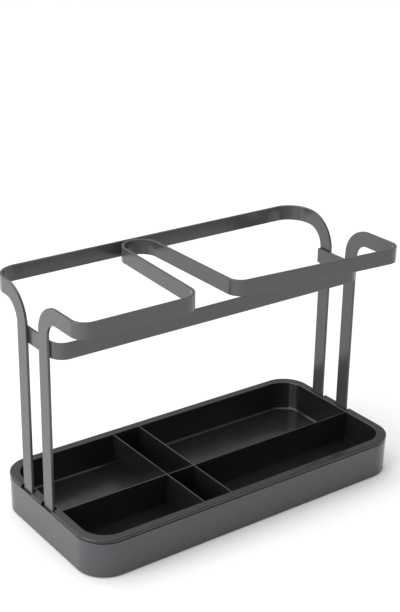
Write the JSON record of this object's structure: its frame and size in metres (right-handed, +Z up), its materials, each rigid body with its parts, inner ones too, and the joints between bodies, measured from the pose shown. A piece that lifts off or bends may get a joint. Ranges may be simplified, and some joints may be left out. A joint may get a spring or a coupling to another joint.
{
  "type": "sink caddy",
  "caption": "Sink caddy: a lift-off rack of formed flat strip over a divided drip tray in a shallow pan, for a sponge, a brush, a bottle and a cloth.",
  "frame": {"origin": "on the table under the middle of the base", "axes": "+X to the right along the base, +Y to the back, +Z up; the front is -Y"},
  "size_m": [0.24, 0.1165, 0.1593],
  "materials": {
    "pan_paint": "satin dark grey powder coat",
    "strip_paint": "satin dark grey powder coat",
    "tray_plastic": "smooth near-black moulding",
    "foot_rubber": "matt black rubber",
    "clip_steel": "satin dark grey powder coat"
  },
  "bodies": {
    "base": {"base_pan": "pan_paint", "foot_front_left": "foot_rubber", "foot_front_right": "foot_rubber", "foot_rear_left": "foot_rubber", "foot_rear_right": "foot_rubber", "socket_front_left": "clip_steel", "socket_front_right": "clip_steel", "socket_rear_left": "clip_steel", "socket_rear_right": "clip_steel"},
    "tray": {"drip_tray": "tray_plastic"},
    "rack": {"front_strip": "strip_paint", "rear_strip": "strip_paint", "front_band": "strip_paint"}
  },
  "joints": [
    {"name": "rack_lift", "type": "slide", "parent": "base", "child": "rack", "axis": [0, 0, 1], "range_m": [0, 0.045]},
    {"name": "tray_lift", "type": "slide", "parent": "base", "child": "tray", "axis": [0, 0, 1], "range_m": [0, 0.03]}
  ]
}
